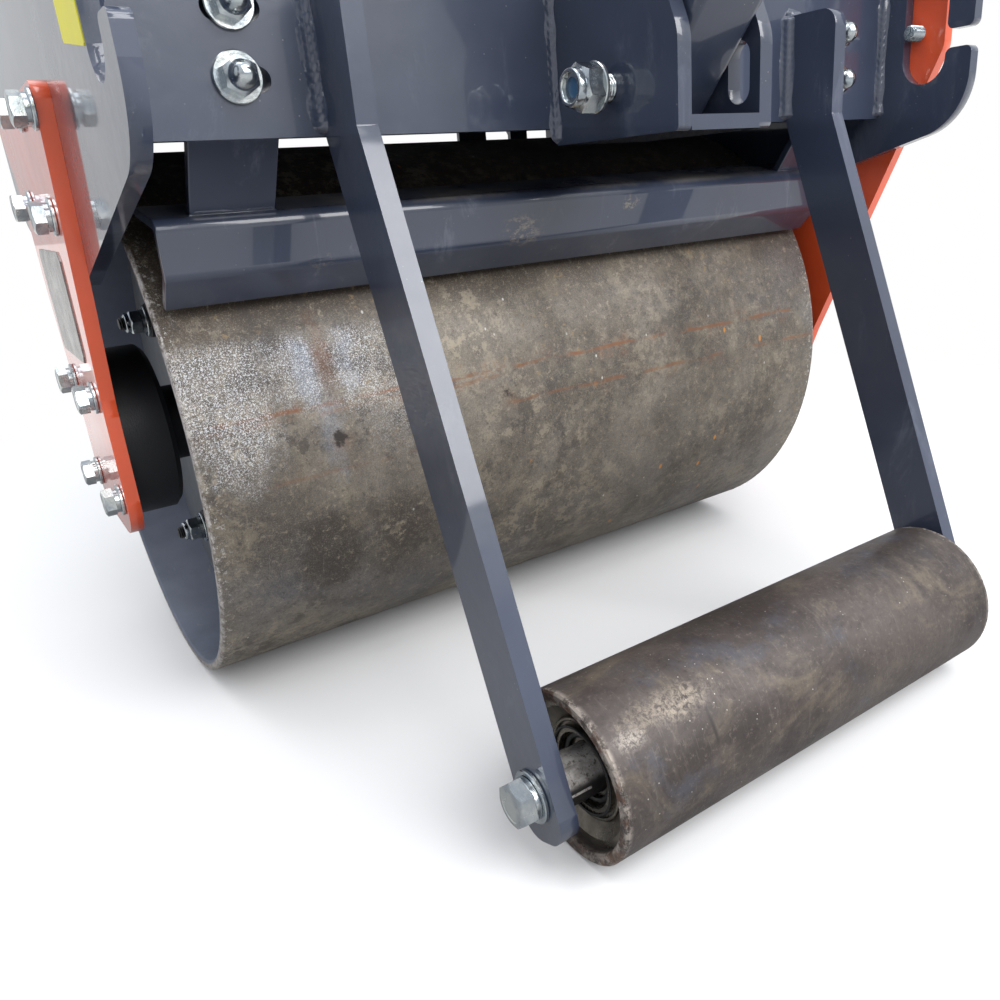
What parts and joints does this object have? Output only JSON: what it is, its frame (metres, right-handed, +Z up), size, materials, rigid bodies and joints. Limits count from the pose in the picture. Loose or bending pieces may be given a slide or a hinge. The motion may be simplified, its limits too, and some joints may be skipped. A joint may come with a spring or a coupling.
{
  "type": "walk-behind vibratory roller",
  "caption": "Walk-behind soil and asphalt compactor: bare steel drum in a plate frame, trailing support roller on flat arms, hinged drawbar handle, small engine and water tank.",
  "frame": {"origin": "on the ground under the middle of the whole machine's box", "axes": "+X along the drum axis towards the drive side, +Y the way the machine faces, away from the operator, +Z up"},
  "size_m": [0.68, 1.1488, 0.9587],
  "materials": {
    "frame_paint": "semi-gloss anthracite paint",
    "orange_paint": "glossy red-orange paint",
    "hub_black": "matt black",
    "drum_steel": "bare rolled steel with rust",
    "web_paint": "semi-gloss grey paint",
    "roller_steel": "bare worn steel",
    "zinc": "bright zinc plate",
    "grip_rubber": "matt rubber",
    "black_plastic": "matt",
    "engine_alloy": "cast",
    "engine_cover": "satin",
    "silencer_steel": "satin",
    "pump_iron": "painted",
    "tank_plastic": "moulded"
  },
  "bodies": {
    "frame": {"side_plate_left": "frame_paint", "side_plate_right": "frame_paint", "rear_cross_plate": "frame_paint", "front_cross_plate": "frame_paint", "engine_deck": "frame_paint", "arm_left": "frame_paint", "arm_right": "frame_paint", "handle_bracket": "frame_paint", "scraper_rear": "frame_paint", "scraper_front": "frame_paint", "lifting_bow": "frame_paint", "tank_shelf": "frame_paint", "spray_pipe": "frame_paint", "carrier_left": "orange_paint", "carrier_right": "orange_paint", "motor_cover": "orange_paint", "hub_left": "hub_black", "hub_right": "hub_black", "roller_axle": "zinc", "roller_bolt_left": "zinc", "roller_bolt_right": "zinc", "pivot_bolt": "zinc", "crankcase": "engine_alloy", "cylinder": "engine_alloy", "fan_shroud": "engine_cover", "recoil_cover": "black_plastic", "fuel_tank": "engine_cover", "fuel_cap": "black_plastic", "air_cleaner": "black_plastic", "silencer": "silencer_steel", "pump": "pump_iron", "water_tank": "tank_plastic", "filler_cap": "black_plastic"},
    "drum": {"drum_shell": "drum_steel", "drum_web_left": "web_paint", "drum_web_right": "web_paint", "exciter_tube": "web_paint"},
    "support_roller": {"roller_tube": "roller_steel", "roller_housing_left": "roller_steel", "roller_housing_right": "roller_steel"},
    "handle": {"drawbar": "frame_paint", "handle_hoop": "frame_paint", "grip_left": "grip_rubber", "grip_right": "grip_rubber", "console": "black_plastic", "drive_lever": "zinc", "throttle_lever": "zinc"}
  },
  "joints": [
    {"name": "drum_spin", "type": "hinge", "parent": "frame", "child": "drum", "pos_m": [-0.023, 0.22245, 0.2032], "axis": [1, 0, 0], "continuous": true},
    {"name": "support_roller_spin", "type": "hinge", "parent": "frame", "child": "support_roller", "pos_m": [-0.023, -0.18855, 0.052], "axis": [1, 0, 0], "continuous": true},
    {"name": "handle_pivot", "type": "hinge", "parent": "frame", "child": "handle", "pos_m": [-0.023, -0.08355, 0.416], "axis": [-1, 0, 0], "range_deg": [0, 42]}
  ]
}
